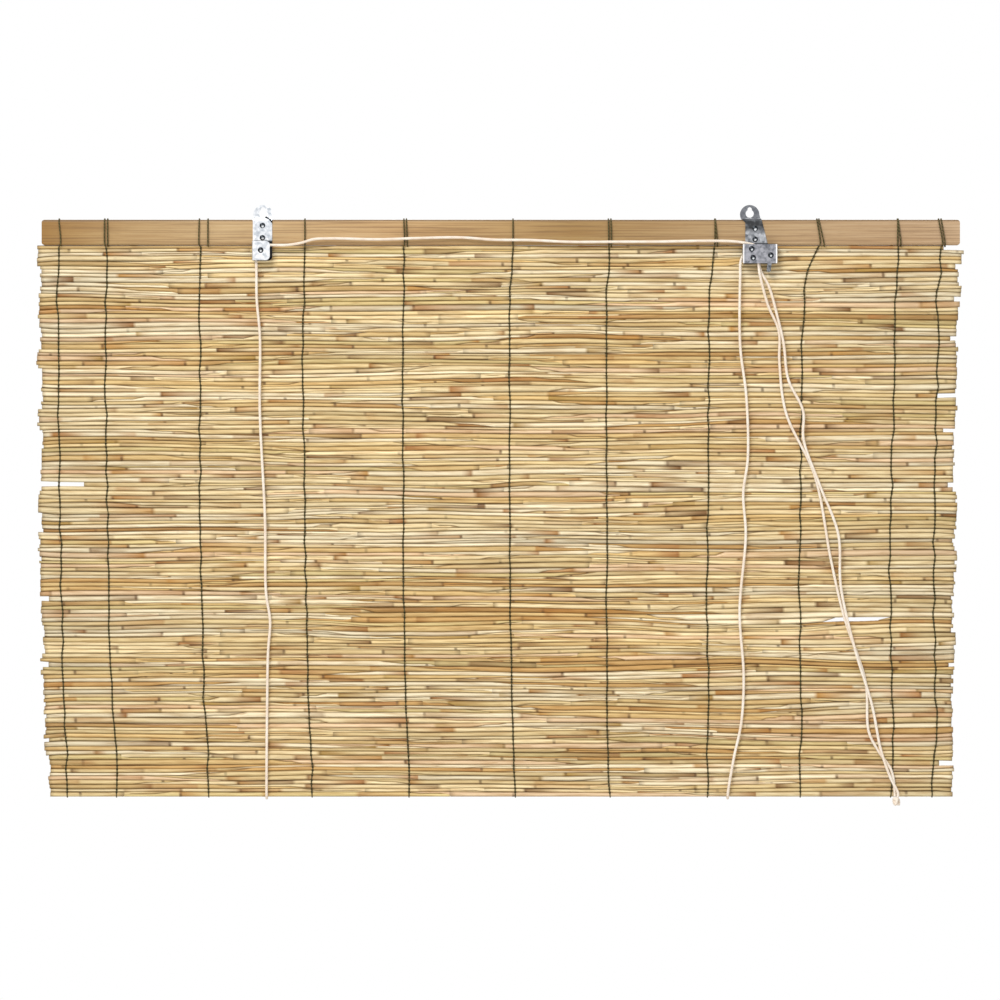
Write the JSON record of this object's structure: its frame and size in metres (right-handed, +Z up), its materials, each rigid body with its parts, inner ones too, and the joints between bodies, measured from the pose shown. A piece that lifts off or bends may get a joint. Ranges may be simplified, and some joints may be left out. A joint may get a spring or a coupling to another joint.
{
  "type": "reed roll-up blind",
  "caption": "Reed roll-up blind: a wooden head rail carries a mat of bound reeds, hung by a pulley bracket and a cord lock, with lift cords that run under the mat.",
  "frame": {"origin": "on the wall plane, midway between the centres of the two hanging keyholes", "axes": "+X to the right along the head rail as seen from the room, +Y towards the wall, +Z up"},
  "size_m": [0.9097, 0.0227, 0.5895],
  "materials": {
    "rail_wood": "raw planed",
    "reed": "natural satin skin",
    "binding_thread": "twisted thread",
    "galvanised_sheet": "galvanised",
    "fixing_steel": "zinc plated",
    "wheel_nylon": "moulded",
    "lift_cord": "twisted cord"
  },
  "bodies": {
    "blind": {"head_rail": "rail_wood", "reed_mat": "reed", "binding_thread_01": "binding_thread", "binding_thread_02": "binding_thread", "binding_thread_03": "binding_thread", "binding_thread_04": "binding_thread", "binding_thread_05": "binding_thread", "binding_thread_06": "binding_thread", "binding_thread_07": "binding_thread", "binding_thread_08": "binding_thread", "binding_thread_09": "binding_thread", "binding_thread_10": "binding_thread", "binding_thread_11": "binding_thread", "pulley_bracket": "galvanised_sheet", "pulley_rivet": "fixing_steel", "pulley_bracket_screws": "fixing_steel", "lock_strap": "galvanised_sheet", "lock_cover": "galvanised_sheet", "lock_brake_post": "fixing_steel", "lock_guide_rivet": "fixing_steel", "lock_brake_rivet": "fixing_steel", "lock_cam_rivet": "fixing_steel", "lock_strap_screws": "fixing_steel", "left_lift_cord": "lift_cord", "right_lift_cord": "lift_cord", "cord_staples": "fixing_steel", "pull_knot": "lift_cord"},
    "pulley": {"pulley_wheel": "wheel_nylon"},
    "guide": {"lock_guide_roller": "fixing_steel"},
    "cam": {"lock_cam": "fixing_steel"}
  },
  "joints": [
    {"name": "pulley_spin", "type": "hinge", "parent": "blind", "child": "pulley", "pos_m": [-0.2404, -0.0169, -0.0368], "axis": [0, 1, 0], "continuous": true},
    {"name": "guide_spin", "type": "hinge", "parent": "blind", "child": "guide", "pos_m": [0.24, -0.0169, -0.0356], "axis": [0, 1, 0], "continuous": true},
    {"name": "cam_swing", "type": "hinge", "parent": "blind", "child": "cam", "pos_m": [0.2587, -0.0169, -0.0417], "axis": [0, -1, 0], "range_deg": [0, 25]}
  ],
  "couplings": [
    {"joint": "guide_spin", "follows": "pulley_spin", "ratio": 1.1111}
  ]
}
